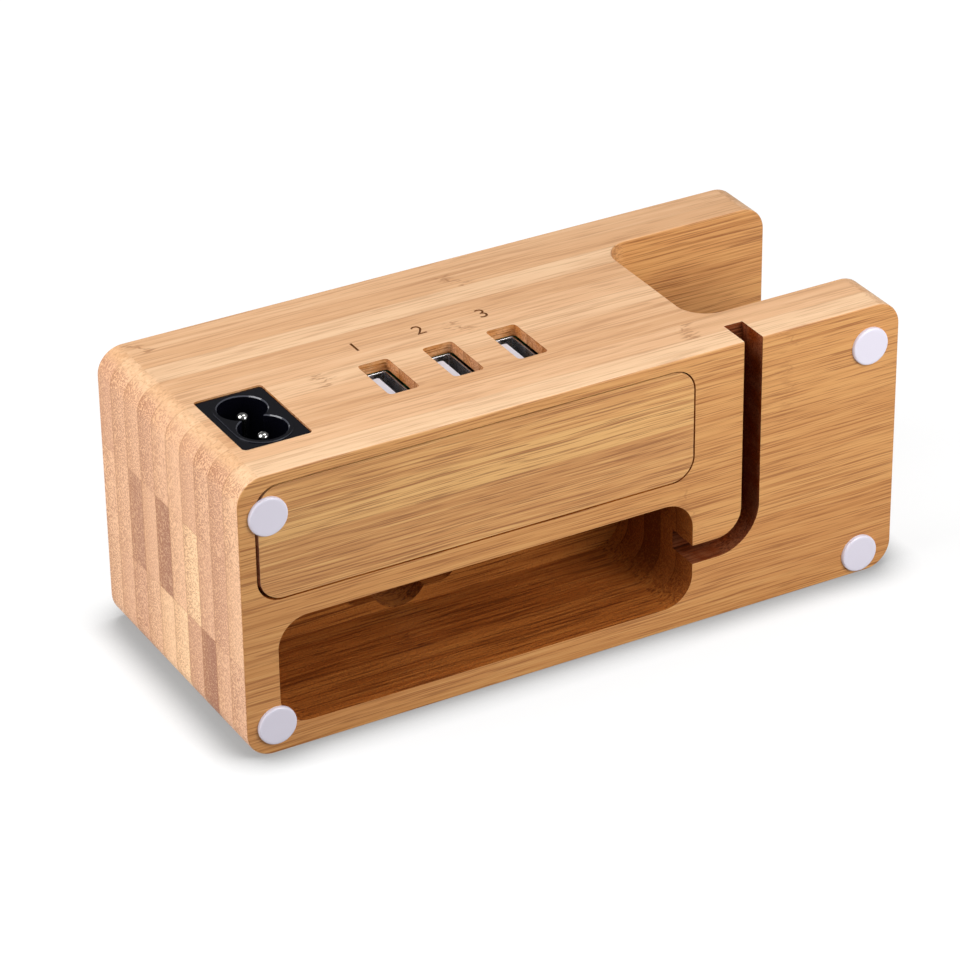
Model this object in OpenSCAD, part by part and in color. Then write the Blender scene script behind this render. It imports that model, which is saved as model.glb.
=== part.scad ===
// Bamboo charging dock: phone slot, watch arm, three charging ports and a mains inlet.
// The dock stands on its feet. +X is the inlet end, +Y the back with the ports, +Z up.
// Lengths along X are counted from the inlet end, along Y from the front face, and along Z
// from the underside of the block, as they are read off the real object.

/* [Block] */
// Length of the block
body_l = 145; // [135:1:180]
// Depth of the block, front to back
body_w = 60; // [54:1:80]
// Height of the block without its feet
body_h = 60.5; // [58:0.5:80]
// Radius of the block's four upright corners
corner_r = 5.5; // [2:0.5:6]
// Radius of the router cutter, left in every inner corner
cutter_r = 6.35; // [4:0.05:7]

/* [Watch arm] */
// Length of the arm and of the notch under it
arm_l = 39.15; // [35:0.05:45]
// Thickness of the arm
arm_t = 11.3; // [10:0.1:14]
// Thickness of the base under the notch
base_t = 13.2; // [11:0.1:18]
// Radius of the recess for the charging puck
puck_r = 14.3; // [12:0.1:16]
// Depth of the puck recess
puck_d = 7.5; // [5:0.1:9]
// Radius of the hole through the recess floor
puck_hole_r = 6.35; // [4:0.05:8]
// Width of the cable slit beside the puck
puck_slit_w = 5; // [4.5:0.1:7]
// Length of the slit outside the recess
puck_slit_l = 3.2; // [2:0.1:4]

/* [Phone slot] */
// Distance of the slot's middle from the inlet end
slot_x = 47.3; // [46:0.1:52]
// Distance of the slot floor's middle from the front face
slot_y = 11.5; // [11:0.1:14]
// Length of the slot
slot_l = 84; // [60:1:86]
// Width of the slot
slot_w = 12; // [8:0.5:13]
// Depth of the slot
slot_d = 14.5; // [8:0.5:18]
// Backward lean of the slot in degrees
slot_lean = 10; // [0:1:12]
// Radius of the round plug passage under the slot
passage_r = 6.2; // [5:0.1:6.3]
// Length of the plug recess round the passage
connector_l = 25; // [14:0.5:30]
// Width of the plug recess round the passage
connector_w = 6; // [4.5:0.1:8]
// Depth of the plug recess
connector_d = 2; // [1:0.1:4]

/* [Cable pocket] */
// Wall between the pocket and the inlet end
pocket_end = 7.2; // [5:0.1:12]
// Wall between the pocket and the front face
pocket_front = 5.1; // [4:0.1:5.2]
// Length of the pocket
pocket_l = 90.7; // [70:0.1:92]
// Wall between the pocket and the cover's rebate
web_t = 4.7; // [3:0.1:6]
// Depth of the pocket
pocket_d = 27.5; // [20:0.5:30]

/* [Cable channel] */
// Distance of the channel's straight run from the inlet end
channel_x = 111.1; // [108:0.1:116]
// Distance of the channel's mouth in the pocket from the front face
channel_y = 15.8; // [13:0.1:20]
// Width of the channel
channel_w = 4.2; // [4.2:0.1:6]
// Depth of the channel
channel_d = 7.5; // [5:0.1:9]
// Radius of the bend on the channel's middle line
channel_r = 7.6; // [4:0.1:9]

/* [Compartment] */
// Rebate edge to the inlet end
rebate_end = 3.4; // [3:0.1:6]
// Wall between the rebate and the back face
back_wall = 2.35; // [2:0.05:4]
// Length of the cover's rebate
rebate_l = 94.7; // [94:0.1:100]
// Width of the cover's rebate
rebate_w = 24.55; // [24:0.05:25]
// Corner radius of the rebate
rebate_r = 5; // [3.5:0.1:6]
// Thickness of the cover and depth of its rebate
cover_t = 3; // [2:0.1:4]
// Gap round the cover
cover_gap = 0.3; // [0.2:0.05:0.5]
// Gap at the cover's inlet end
cover_end_gap = 0.7; // [0.3:0.05:1]
// Ledge that carries the cover's ends
ledge_end = 2.6; // [2.2:0.1:2.8]
// Ledge that carries the cover's front edge
ledge_front = 3; // [2:0.1:3.2]
// Corner radius of the compartment
cavity_r = 3.2; // [2:0.1:4]
// Depth of the compartment from the underside
cavity_d = 34; // [33:0.5:36]

/* [Feet] */
// Radius of a foot
foot_r = 4.0; // [3.5:0.1:5]
// Height of a foot
foot_h = 0.8; // [0.5:0.1:3]
// Rounding of a foot's edge
foot_edge = 0.4; // [0.2:0.1:0.5]

/* [Mains inlet] */
// Distance of the inlet's middle from the inlet end
inlet_x = 13.9; // [13.8:0.1:14.4]
// Height of the inlet's middle above the underside
inlet_z = 21; // [20.8:0.1:21.4]
// Width of the inlet's face
inlet_w = 14.2; // [13.8:0.1:14.4]
// Length of the inlet's face
inlet_l = 21.5; // [21:0.1:22]
// Corner radius of the inlet's face
inlet_r = 0.8; // [0.4:0.1:1.2]
// Depth of the housing behind its face
inlet_d = 13; // [12:0.1:13.2]
// Recess of the face below the block's back
inlet_recess = 0.3; // [0.3:0.1:1]
// Gap round the housing in its window
inlet_gap = 0.1; // [0.05:0.05:0.2]
// Thickness of the housing's two retaining lugs
lug_t = 1.6; // [1:0.1:2]
// Reach of a retaining lug past the window
lug_l = 1.3; // [0.8:0.1:1.5]
// Radius of a socket lobe
lobe_r = 4.8; // [4.4:0.1:5]
// Width of the socket at its waist
waist_w = 4.6; // [4.6:0.1:5.6]
// Distance between the two contact pins
pin_pitch = 8.6; // [8:0.1:9]
// Radius of a contact pin
pin_r = 1.2; // [1:0.05:1.3]
// Depth of the socket
socket_d = 11; // [9:0.1:11.2]
// Distance of the pin tips below the face
pin_recess = 0.9; // [0.5:0.1:2]
// Length of a solder tab
tab_l = 3; // [2:0.1:4]

/* [Charging ports] */
// Distance of the first port from the inlet end
port_x = 43.4; // [43:0.1:45]
// Distance between ports
port_pitch = 14; // [13.5:0.1:15]
// Height of the ports' middle above the underside
port_z = 22.4; // [21.6:0.1:22.6]
// Width of a port window in the block
window_w = 6.6; // [6:0.1:8]
// Length of a port window in the block
window_l = 13.3; // [13:0.1:14]
// Corner radius of a port window
window_r = 0.9; // [0.3:0.1:1.5]
// Outside width of a port shell
shell_w = 5.7; // [5.4:0.1:6]
// Outside length of a port shell
shell_l = 13.1; // [12.8:0.1:13.3]
// Depth of a port shell
shell_d = 14; // [12:0.1:15]
// Sheet thickness of a port shell
shell_t = 0.3; // [0.2:0.05:0.4]
// Gap between a shell's mouth and the wall behind its window
shell_gap = 0.1; // [0.1:0.05:0.5]
// Thickness of a port tongue
tongue_t = 1.9; // [1.6:0.1:2.1]
// Width of a port tongue
tongue_w = 11; // [10:0.1:11.6]
// Gap between a tongue's plain side and its shell
tongue_gap = 1.1; // [0.9:0.1:1.2]
// Distance of the tongue's tip behind the shell's mouth
tongue_recess = 0.2; // [0.2:0.1:1]
// Thickness of the block at the back of a port shell
insulator_d = 4; // [3:0.1:5]
// Width of a contact strip
contact_w = 1; // [0.6:0.1:1.2]
// Thickness of a contact strip
contact_t = 0.2; // [0.15:0.05:0.3]
// Distance of the inner contacts from the tongue's middle
contact_inner = 1; // [0.9:0.1:1.3]
// Distance of the outer contacts from the tongue's middle
contact_outer = 3.5; // [3:0.1:4]
// Distance that a contact ends behind the tongue's tip
contact_back = 1.5; // [0.5:0.1:3]

/* [Circuit board] */
// Distance of the board's near end from the inlet end
board_x = 24.5; // [24:0.1:25]
// Thickness of the board
board_t = 1.6; // [1.2:0.1:2]
// Gap between the board's long edges and the compartment
board_gap = 0.4; // [0.3:0.1:0.8]
// Gap between the board's far end and the compartment
board_end_gap = 0.3; // [0.2:0.1:0.8]
// Width of the two wooden ledges that carry the board
board_ledge = 4.4; // [3.5:0.1:4.5]
// Radius of a board screw's head
screw_head_r = 1.9; // [1.5:0.1:2]
// Height of a board screw's head
screw_head_t = 1.3; // [1:0.1:2]
// Radius of a board screw's shank
screw_r = 0.9; // [0.8:0.05:1.1]
// Length of a board screw's shank
screw_l = 6; // [4:0.5:8]
// Radius of a lead's insulation
lead_r = 0.9; // [0.7:0.05:1]
// Bend radius of a lead
lead_bend = 2; // [1.6:0.1:2.2]

/* [Hidden] */
$fn = 64;
// Hair by which a cut passes the face that it starts from
cut = 0.1;
// Running gap of a piece that slips through a hole
slip = 0.05;

// Places measured from the real object's reference faces
function from_inlet(d) = body_l / 2 - d;
function from_front(d) = d - body_w / 2;
function from_base(d) = foot_h + d;

arm_x = from_inlet(body_l - arm_l);
puck_x = (arm_x - body_l / 2) / 2;
puck_floor = body_h - puck_d;
arm_under = body_h - arm_t;

cover_l = rebate_l - cover_gap - cover_end_gap;
cover_w = rebate_w - 2 * cover_gap;
rebate_front = body_w - back_wall - rebate_w;
pocket_w = rebate_front - web_t - pocket_front;
cavity_end = rebate_end + ledge_end;
cavity_l = rebate_l - 2 * ledge_end;
cavity_front = rebate_front + ledge_front;
cavity_back = rebate_front + rebate_w;
cavity_w = cavity_back - cavity_front;

inlet_face = body_w - inlet_recess;
inlet_rear = inlet_face - inlet_d;
tab_end = inlet_rear - tab_l;
pin_z = [inlet_z + pin_pitch / 2, inlet_z - pin_pitch / 2];

shell_mouth = cavity_back - shell_gap;
shell_rear = shell_mouth - shell_d;
ports = [0, 1, 2];
function port_at(i) = port_x + i * port_pitch;
// The tongue lies towards the inlet end of its shell, with its contacts facing the watch arm
tongue_x = -(shell_w / 2 - shell_t - tongue_gap - tongue_t / 2);

// The board lies above the ports, parts side down
board_face = port_z + shell_l / 2;
board_top = board_face + board_t;
board_front = cavity_front + board_gap;
board_back = cavity_back - board_gap;
board_w = board_back - board_front;
board_end = cavity_end + cavity_l - board_end_gap;
board_l = board_end - board_x;
screw_places = [
    [board_x + board_ledge / 2, board_back - board_w / 3],
    [board_end - board_ledge / 2, board_front + screw_head_r + 1.6]
];

// Feet as [distance from the inlet end, distance from the front face], stuck on by hand
foot_places = [[6.05, body_w - 8.45], [6.2, 6.25], [body_l - 6.9, body_w - 8.55], [body_l - 7.75, 4.7]];

// Parts on the board, as distances from the inlet end and from the front face
bulk_place = [board_x + 8.5, board_back - 13.25];
bulk_r = 5;
bulk_h = 15;
fuse_place = [board_x + 10, board_back - 3.25];
fuse_r = 1.8;
fuse_l = 10;
fuse_cap_l = 2;
choke_place = [board_x + 20.1, board_front + 3.6];
choke_r = 2.9;
choke_h = 7;
bridge_place = [board_x + 30, board_front + 3.5];
bridge_size = [8.5, 5.8, 3.2];
chip_place = [board_x + 41.5, board_front + 3.5];
chip_size = [6.2, 5, 1.8];
y_cap_place = [board_x + 48.5, board_front + 3.4];
y_cap_r = 3.2;
y_cap_t = 3.4;
out_cap_r = 3.15;
out_cap_h = 12;
out_cap_y = board_back - 8.85;
diode_size = [4.6, 3.6, 2.3];
diode_y = board_back - 2.45;
trafo_place = [board_end - 11.9, board_back - 9.75];
trafo_leg = 2.4;
trafo_core = [4.8, 16, 12.2];
trafo_bobbin = [14.4, 14.4, 2.5];
trafo_wind = [12, 10.8, 7];
trafo_post = 4;

// Levels at which the two leads run behind the inlet, and where they land on the board
lead_y = [cavity_front + 1.5, cavity_front + 4.9];
lead_land = board_x + 1.5;
// Depth and width of the groove near a can's foot, and its height above the foot
groove = [0.3, 0.8, 1.6];

// Rectangle with rounded corners, centred
module rounded(l, w, r) {
    square([l, w - 2 * r], center = true);
    square([l - 2 * r, w], center = true);
    for (x = [-1, 1], y = [-1, 1])
        translate([x * (l / 2 - r), y * (w / 2 - r)]) circle(r);
}

// Slot with round ends, centred
module stadium(l, w) {
    square([l - w, w], center = true);
    for (x = [-1, 1]) translate([x * (l - w) / 2, 0]) circle(w / 2);
}

// Places a shape by its distance from the inlet end, the front face and the underside
module at(x, y, z) {
    translate([from_inlet(x), from_front(y), from_base(z)]) children();
}

// Turns an outline drawn in X and Z so that it is extruded inwards from the back face
module from_back(x, y, z) {
    at(x, y, z) rotate([90, 0, 0]) children();
}

// Box with its lowest corner at the farther end: [length, width, height]
module box_at(x, y, z, size) {
    at(x + size[0], y, z) cube(size);
}

module notch() {
    corner = [arm_x - cutter_r, base_t + cutter_r, arm_under - cutter_r];
    height = arm_under - base_t;
    translate([0, body_w / 2 + cut, from_base(0)]) rotate([90, 0, 0])
        linear_extrude(body_w + 2 * cut) {
            translate([-body_l / 2 - cut, base_t])
                square([arm_l + cut - cutter_r, height]);
            translate([arm_x - cutter_r - cut, corner[1]])
                square([cutter_r + cut, height - 2 * cutter_r]);
            for (z = [corner[1], corner[2]]) translate([corner[0], z]) circle(cutter_r);
        }
}

module puck_recess() {
    translate([puck_x, 0, from_base(puck_floor)]) cylinder(h = puck_d + cut, r = puck_r);
    translate([puck_x, 0, from_base(arm_under - cut)])
        cylinder(h = arm_t, r = puck_hole_r);
    translate([puck_x, -puck_slit_w / 2, from_base(arm_under - cutter_r)])
        cube([puck_r + puck_slit_l, puck_slit_w, arm_t + cutter_r + cut]);
}

module phone_slot() {
    at(slot_x, slot_y, body_h - slot_d) rotate([-slot_lean, 0, 0])
        linear_extrude(slot_d + slot_w) stadium(slot_l, slot_w);
    at(slot_x, slot_y, pocket_d - cut)
        cylinder(h = body_h - slot_d - pocket_d + 2, r = passage_r);
    at(slot_x, slot_y, pocket_d - cut)
        linear_extrude(connector_d + cut) stadium(connector_l, connector_w);
}

module cable_pocket() {
    at(pocket_end + pocket_l / 2, pocket_front + pocket_w / 2, -cut)
        linear_extrude(pocket_d + cut) rounded(pocket_l, pocket_w, cutter_r);
}

module cable_channel() {
    run_end = pocket_end + pocket_l - cutter_r;
    bend_x = channel_x - channel_r;
    bend_y = channel_y + channel_r;
    at(channel_x, bend_y, -cut) translate([-channel_w / 2, 0, 0])
        cube([channel_w, body_w - bend_y + cut, channel_d + cut]);
    at(bend_x, channel_y - channel_w / 2, -cut)
        cube([bend_x - run_end, channel_w, channel_d + cut]);
    at(bend_x, bend_y, -cut) difference() {
        cylinder(h = channel_d + cut, r = channel_r + channel_w / 2);
        translate([0, 0, -cut]) cylinder(h = channel_d + 3 * cut, r = channel_r - channel_w / 2);
        translate([0, -2 * channel_r, -cut]) cube([2 * channel_r, 4 * channel_r, channel_d + 3 * cut]);
        translate([-2 * channel_r, 0, -cut]) cube([4 * channel_r, 2 * channel_r, channel_d + 3 * cut]);
    }
}

module cover_rebate() {
    at(rebate_end + rebate_l / 2, rebate_front + rebate_w / 2, -cut)
        linear_extrude(cover_t + cut) rounded(rebate_l, rebate_w, rebate_r);
}

// The compartment leaves two ledges of wood under the ends of the board
module compartment() {
    difference() {
        at(cavity_end + cavity_l / 2, cavity_front + cavity_w / 2, 0)
            linear_extrude(cavity_d) rounded(cavity_l, cavity_w, cavity_r);
        for (x = [board_x, board_end - board_ledge])
            box_at(x, cavity_front - cut, board_top, [board_ledge, cavity_w + 2 * cut, cavity_d]);
        box_at(board_end - cut, cavity_front - cut, board_top,
            [board_end_gap + 2 * cut, cavity_w + 2 * cut, cavity_d]);
    }
}

module inlet_window() {
    window_d = body_w - cavity_back + cavity_r;
    from_back(inlet_x, body_w + cut, inlet_z)
        linear_extrude(window_d + cut)
            rounded(inlet_w + 2 * inlet_gap, inlet_l + 2 * inlet_gap, inlet_r + inlet_gap);
}

module port_window(i) {
    from_back(port_at(i), body_w + cut, port_z)
        linear_extrude(back_wall + 2 * cut) rounded(window_w, window_l, window_r);
}

module screw_holes(bottom, height, r) {
    for (p = screw_places) at(p[0], p[1], bottom) cylinder(h = height, r = r);
}

module bamboo_block() {
    color("#d9a66b") difference() {
        at(body_l / 2, body_w / 2, 0) linear_extrude(body_h) rounded(body_l, body_w, corner_r);
        notch();
        puck_recess();
        phone_slot();
        cable_pocket();
        cable_channel();
        cover_rebate();
        compartment();
        inlet_window();
        for (i = ports) port_window(i);
        screw_holes(board_top - cut, screw_l + 1, screw_r);
    }
}

module compartment_cover() {
    middle = rebate_end + cover_end_gap + cover_l / 2;
    color("#dcb478") at(middle, rebate_front + rebate_w / 2, 0)
        linear_extrude(cover_t) rounded(cover_l, cover_w, rebate_r - cover_gap);
}

// A stick-on disc with a rounded lower edge
module foot(place) {
    color("#f2f0f4") translate([from_inlet(place[0]), from_front(place[1]), 0]) rotate_extrude() {
        translate([0, foot_edge]) square([foot_r, foot_h - foot_edge]);
        square([foot_r - foot_edge, foot_h]);
        translate([foot_r - foot_edge, foot_edge]) intersection() {
            circle(foot_edge);
            translate([0, -foot_edge]) square([foot_edge, foot_edge]);
        }
    }
}

module inlet_lugs() {
    lug_w = inlet_w - 2 * cavity_r;
    for (side = [-1, 1])
        from_back(inlet_x, cavity_back, inlet_z + side * (inlet_l / 2 + lug_l / 2))
            linear_extrude(lug_t) square([lug_w, lug_l + 2 * cut], center = true);
}

module inlet_housing() {
    color("#16161a") difference() {
        union() {
            from_back(inlet_x, inlet_face, inlet_z)
                linear_extrude(inlet_d) rounded(inlet_w, inlet_l, inlet_r);
            inlet_lugs();
        }
        from_back(inlet_x, inlet_face + cut, inlet_z) linear_extrude(socket_d + cut) {
            for (z = [-1, 1]) translate([0, z * pin_pitch / 2]) circle(lobe_r);
            square([waist_w, pin_pitch], center = true);
        }
        for (z = pin_z) from_back(inlet_x, inlet_face, z)
            cylinder(h = inlet_d + cut, r = pin_r + slip);
    }
}

// A round contact with a domed tip and a flat solder tab behind the housing
module inlet_pin(z) {
    length = inlet_d - pin_recess;
    color("#d8d8dc") {
        from_back(inlet_x, inlet_face - pin_recess - pin_r, z)
            cylinder(h = length - pin_r, r = pin_r);
        at(inlet_x, inlet_face - pin_recess - pin_r, z) sphere(pin_r);
        from_back(inlet_x, inlet_rear + cut, z)
            linear_extrude(tab_l + cut) square([0.8, 2 * pin_r], center = true);
    }
}

// A quarter bend of round wire in the XY plane about its own centre
module wire_bend(turn) {
    rotate(turn) difference() {
        rotate_extrude() translate([lead_bend, 0]) circle(lead_r);
        for (corner = [[-2, -4], [-4, -2]])
            translate([corner[0] * lead_bend, corner[1] * lead_bend, -lead_bend])
                cube([4 * lead_bend, 4 * lead_bend, 2 * lead_bend]);
    }
}

// From a solder tab down behind the housing, along to the board's end and up onto the board
module lead(z, y, paint) {
    color(paint) {
        from_back(inlet_x, tab_end, z) cylinder(h = tab_end - y - lead_bend, r = lead_r);
        at(inlet_x + lead_bend, y + lead_bend, z) wire_bend(270);
        at(inlet_x + lead_bend, y, z) rotate([0, -90, 0])
            cylinder(h = lead_land - inlet_x - 2 * lead_bend, r = lead_r);
        at(lead_land - lead_bend, y, z + lead_bend) rotate([-90, 0, 0]) wire_bend(90);
        at(lead_land, y, z + lead_bend) cylinder(h = board_face - z - lead_bend, r = lead_r);
    }
}

module usb_shell(i) {
    color("#c4c6ca") from_back(port_at(i), shell_mouth, port_z) difference() {
        linear_extrude(shell_d) rounded(shell_w, shell_l, 2 * shell_t);
        translate([0, 0, -cut]) linear_extrude(shell_d + 2 * cut)
            rounded(shell_w - 2 * shell_t, shell_l - 2 * shell_t, shell_t);
    }
}

// The insulating block at the back of the shell and the tongue that stands on it
module usb_tongue(i) {
    inner_w = shell_w - 2 * shell_t - 2 * slip;
    inner_l = shell_l - 2 * shell_t - 2 * slip;
    color("#f4f2f0") {
        from_back(port_at(i), shell_rear + insulator_d, port_z)
            linear_extrude(insulator_d) rounded(inner_w, inner_l, shell_t);
        from_back(port_at(i), shell_mouth - tongue_recess, port_z) translate([-tongue_x, 0, 0])
            linear_extrude(shell_d - tongue_recess - insulator_d)
                square([tongue_t, tongue_w], center = true);
    }
}

// Four strips lie on the tongue and four tails run behind the block to the board
module usb_contacts(i) {
    reach = shell_d - tongue_recess - insulator_d - contact_back;
    color("#c9a24b") for (step = [-contact_outer, -contact_inner, contact_inner, contact_outer]) {
        level = port_z + step - contact_w / 2;
        box_at(port_at(i) + tongue_x + tongue_t / 2, shell_rear + insulator_d, level,
            [contact_t, reach, contact_w]);
        box_at(port_at(i) + step / 2 - contact_t, shell_rear - contact_t, level,
            [2 * contact_t, contact_t, board_face - level]);
    }
}

module charger_board() {
    color("#2f6b3c") difference() {
        at(board_x + board_l / 2, board_front + board_w / 2, board_face)
            linear_extrude(board_t) rounded(board_l, board_w, cavity_r);
        screw_holes(board_face - cut, board_t + 2 * cut, screw_r + slip);
    }
}

module board_screws() {
    color("#9a9ca0") for (p = screw_places) {
        at(p[0], p[1], board_face - screw_head_t) cylinder(h = screw_head_t, r = screw_head_r);
        at(p[0], p[1], board_face - cut) cylinder(h = screw_l + cut, r = screw_r - slip);
    }
}

module fuse() {
    at(fuse_place[0] - fuse_l / 2, fuse_place[1], board_face - fuse_r) rotate([0, -90, 0]) {
        color("#e8e4d8") cylinder(h = fuse_l, r = fuse_r - slip);
        color("#b8bcc0") for (z = [0, fuse_l - fuse_cap_l])
            translate([0, 0, z]) cylinder(h = fuse_cap_l, r = fuse_r);
    }
}

// An electrolytic can that stands on the board with its groove near its foot
module can(place, r, height, paint) {
    color(paint) at(place[0], place[1], board_face - height) difference() {
        cylinder(h = height, r = r);
        translate([0, 0, height - groove[1] - groove[2]]) difference() {
            cylinder(h = groove[1], r = r + cut);
            cylinder(h = groove[1], r = r - groove[0]);
        }
    }
}

module bulk_capacitor() {
    can(bulk_place, bulk_r, bulk_h, "#20242c");
}

module output_capacitor(i) {
    can([port_at(i) + port_pitch / 2, out_cap_y], out_cap_r, out_cap_h, "#1f3f8a");
}

module input_choke() {
    color("#3a3a3c") at(choke_place[0], choke_place[1], board_face - choke_h) {
        cylinder(h = 1.2, r = choke_r);
        cylinder(h = choke_h, r = choke_r - 0.6);
        translate([0, 0, choke_h - 1.2]) cylinder(h = 1.2, r = choke_r);
    }
}

// A moulded part that lies flat on the board
module chip(place, size, paint) {
    color(paint) box_at(place[0] - size[0] / 2, place[1] - size[1] / 2, board_face - size[2], size);
}

module bridge_rectifier() {
    chip(bridge_place, bridge_size, "#202022");
}

module controller_chip() {
    chip(chip_place, chip_size, "#242428");
}

module output_diode() {
    chip([port_at(1) + port_pitch / 2, diode_y], diode_size, "#1c1c1e");
}

// A disc on edge, its foot cut flat where it meets the board
module y_capacitor() {
    color("#2f6fb4") intersection() {
        at(y_cap_place[0] - y_cap_t / 2, y_cap_place[1], board_face - y_cap_r + 0.3)
            rotate([0, -90, 0]) cylinder(h = y_cap_t, r = y_cap_r);
        box_at(y_cap_place[0] - y_cap_t, y_cap_place[1] - 2 * y_cap_r, board_face - 3 * y_cap_r,
            [2 * y_cap_t, 4 * y_cap_r, 3 * y_cap_r]);
    }
}

module transformer_bobbin() {
    color("#2a2522") chip_box(trafo_bobbin, 0);
}

// A box centred on the transformer, standing off the board by a given height
module chip_box(size, above) {
    box_at(trafo_place[0] - size[0] / 2, trafo_place[1] - size[1] / 2,
        board_face - above - size[2], size);
}

module transformer_core() {
    window = [(trafo_core[1] - 2 * trafo_leg - trafo_post) / 2, trafo_core[2] - 2 * trafo_leg];
    color("#4a4a4e") difference() {
        chip_box(trafo_core, trafo_bobbin[2]);
        for (side = [-1, 1])
            at(trafo_place[0], trafo_place[1] + side * (trafo_post + window[0]) / 2,
                board_face - trafo_bobbin[2] - trafo_core[2] / 2)
                cube([2 * trafo_core[0], window[0], window[1]], center = true);
    }
}

module transformer_winding() {
    middle = board_face - trafo_bobbin[2] - trafo_core[2] / 2;
    color("#e2b62c") at(trafo_place[0], trafo_place[1], middle - trafo_wind[2] / 2)
        linear_extrude(trafo_wind[2]) difference() {
            rounded(trafo_wind[0], trafo_wind[1], 2);
            square([trafo_core[0] + 4 * slip, trafo_post + 4 * slip], center = true);
        }
}

bamboo_block();
compartment_cover();
foot(foot_places[0]);  // foot_inlet_back
foot(foot_places[1]);  // foot_inlet_front
foot(foot_places[2]);  // foot_watch_back
foot(foot_places[3]);  // foot_watch_front
inlet_housing();
inlet_pin(pin_z[0]);  // inlet_pin_live
inlet_pin(pin_z[1]);  // inlet_pin_neutral
lead(pin_z[0], lead_y[0], "#8a4a24");  // lead_live
lead(pin_z[1], lead_y[1], "#2b62b8");  // lead_neutral
usb_shell(0);  // usb_shell_1
usb_shell(1);  // usb_shell_2
usb_shell(2);  // usb_shell_3
usb_tongue(0);  // usb_tongue_1
usb_tongue(1);  // usb_tongue_2
usb_tongue(2);  // usb_tongue_3
usb_contacts(0);  // usb_contacts_1
usb_contacts(1);  // usb_contacts_2
usb_contacts(2);  // usb_contacts_3
charger_board();
board_screws();
fuse();
bulk_capacitor();
input_choke();
bridge_rectifier();
controller_chip();
y_capacitor();
transformer_bobbin();
transformer_core();
transformer_winding();
output_diode();
output_capacitor(0);  // output_capacitor_1
output_capacitor(1);  // output_capacitor_2
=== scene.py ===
import math

import bpy
from mathutils import Matrix, Vector


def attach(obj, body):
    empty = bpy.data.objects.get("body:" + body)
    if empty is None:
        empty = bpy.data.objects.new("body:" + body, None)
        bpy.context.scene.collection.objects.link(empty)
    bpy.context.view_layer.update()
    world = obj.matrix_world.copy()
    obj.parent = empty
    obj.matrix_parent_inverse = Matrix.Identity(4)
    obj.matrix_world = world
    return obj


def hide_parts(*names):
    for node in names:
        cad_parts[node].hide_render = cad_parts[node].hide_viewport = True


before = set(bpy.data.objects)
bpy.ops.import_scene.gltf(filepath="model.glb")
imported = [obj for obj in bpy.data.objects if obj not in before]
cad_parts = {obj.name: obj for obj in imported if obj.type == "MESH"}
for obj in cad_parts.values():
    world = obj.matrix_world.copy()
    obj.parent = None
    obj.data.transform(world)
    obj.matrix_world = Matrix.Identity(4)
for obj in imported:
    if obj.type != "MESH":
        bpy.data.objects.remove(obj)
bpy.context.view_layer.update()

MM = 0.001
ROUND = math.radians(360)
# Sizes and places in millimetres
LENGTH, DEPTH, HEIGHT = 145.0, 60.0, 60.5
FOOT = 0.8
NOTCH_X, NOTCH_Z, NOTCH_R = 105.85, (13.2, 49.2), 6.35
PHONE_X, PHONE_Y = 47.3, 11.5
COMPARTMENT_Y = (36.1, 57.65)
PORT_X = (43.4, 57.4, 71.4)
SHELL_REAR, SHELL_MOUTH, SPRING_Z = 43.55, 57.55, (19.2, 25.6)
INLET_X, INLET_Z, INLET_FACE = 13.9, 21.0, 59.7
PIN_Z = {"live": 25.3, "neutral": 16.7}
# How far a cutter reaches past the face that it starts from
CUT = 0.5
# Which canes the block was glued up from
BLOCK_SEED = 99837.25

# places and small helpers


def at(x, y, z):
    """A point by its distance from the inlet end, the front face and the underside, in millimetres."""
    return Vector((LENGTH / 2 - x, y - DEPTH / 2, z + FOOT)) * MM


def ends(x0, x1, y0, y1, z0, z1):
    """The lowest and highest corners of a block between those distances."""
    a, b = at(x0, y0, z0), at(x1, y1, z1)
    return Vector(map(min, a, b)), Vector(map(max, a, b))


def clear_selection():
    if bpy.context.object and bpy.context.object.mode != "OBJECT":
        bpy.ops.object.mode_set(mode="OBJECT")
    bpy.ops.object.select_all(action="DESELECT")


def pick(piece):
    """Makes one piece the selected and active object."""
    clear_selection()
    piece.select_set(True)
    bpy.context.view_layer.objects.active = piece


def select_faces(piece, test):
    """In edit mode, selects the faces whose middle and normal pass a test."""
    bpy.ops.mesh.select_all(action="DESELECT")
    bpy.ops.mesh.select_mode(type="FACE")
    bpy.ops.object.mode_set(mode="OBJECT")
    for face in piece.data.polygons:
        face.select = test(face.center, face.normal)
    bpy.ops.object.mode_set(mode="EDIT")


def select_edges(piece, test):
    """In edit mode, selects the edges whose two ends pass a test."""
    bpy.ops.mesh.select_all(action="DESELECT")
    bpy.ops.mesh.select_mode(type="EDGE")
    bpy.ops.object.mode_set(mode="OBJECT")
    points = piece.data.vertices
    for edge in piece.data.edges:
        edge.select = test(points[edge.vertices[0]].co, points[edge.vertices[1]].co)
    bpy.ops.object.mode_set(mode="EDIT")


def mend():
    """In edit mode, joins doubled points, turns every face outward and goes back to object mode."""
    bpy.ops.mesh.select_all(action="SELECT")
    bpy.ops.mesh.remove_doubles(threshold=1e-6)
    bpy.ops.mesh.normals_make_consistent(inside=False)
    bpy.ops.object.mode_set(mode="OBJECT")


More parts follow.
